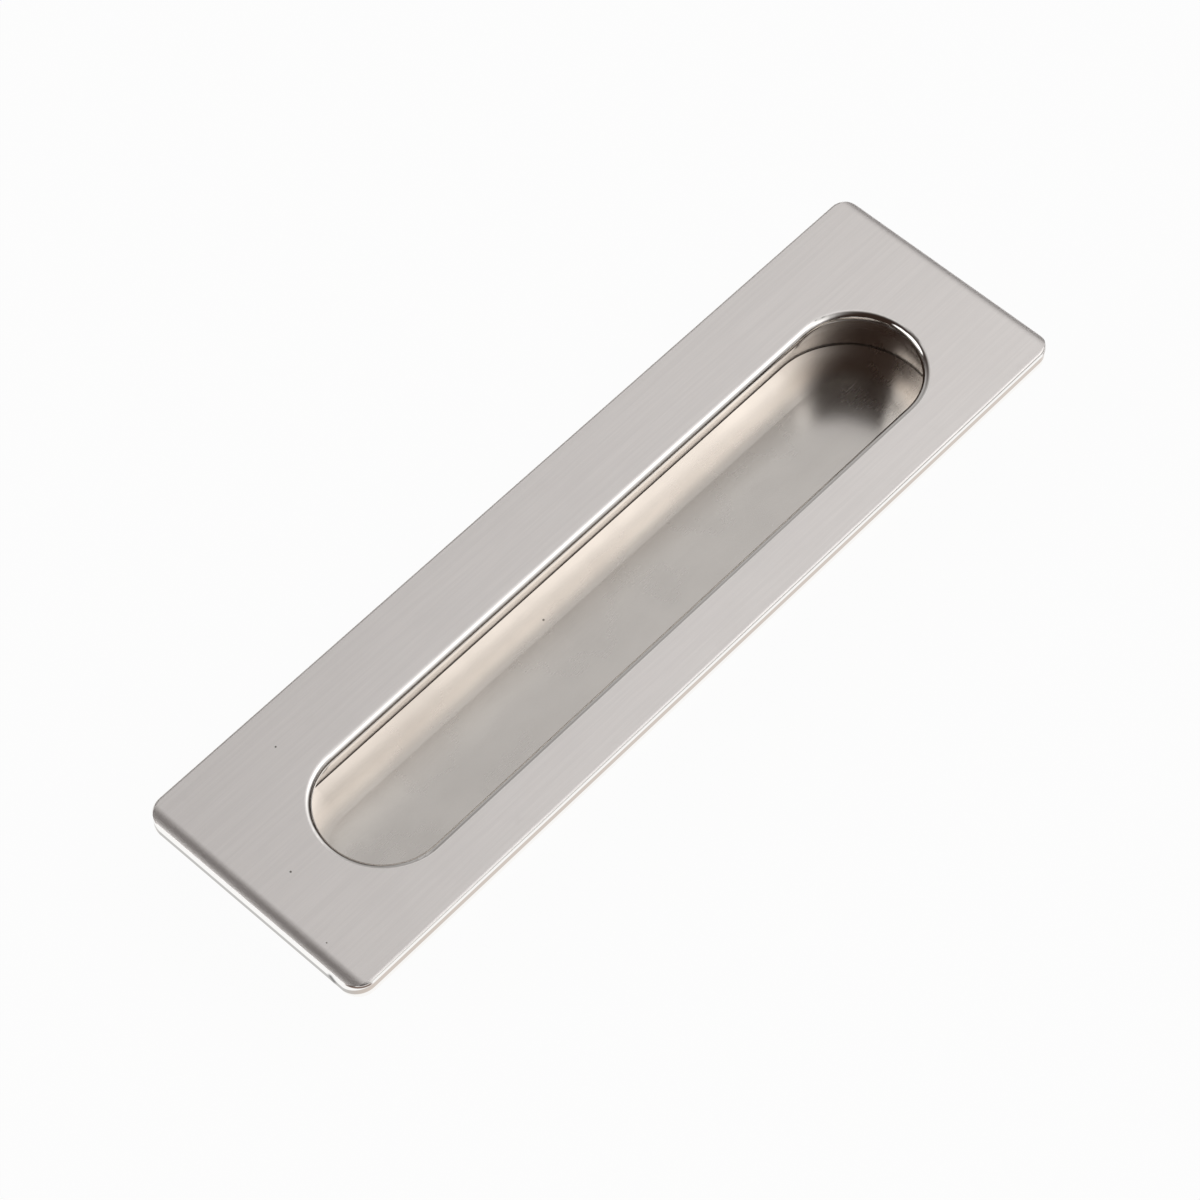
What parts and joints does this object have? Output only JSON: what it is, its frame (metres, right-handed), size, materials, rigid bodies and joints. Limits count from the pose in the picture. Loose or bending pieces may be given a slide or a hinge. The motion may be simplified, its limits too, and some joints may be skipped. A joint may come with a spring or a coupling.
{
  "type": "recessed pull handle",
  "caption": "Recessed pull handle: rectangular brushed metal plate with an off-centre obround finger recess that opens out under a polished lip.",
  "frame": {"origin": "middle of the plate, in the plane of the back of its rim, which lies against the drawer front", "axes": "+X along the handle, +Y across it towards the wider land of the plate, +Z out of the face towards the hand"},
  "size_m": [0.13, 0.036, 0.0129],
  "materials": {
    "cover": "nickel finish: face and inner wall brushed along the length, rim and lip polished",
    "pan": "satin nickel, slightly grained"
  },
  "bodies": {
    "root": {"cover": "cover", "pan": "pan"}
  },
  "joints": []
}
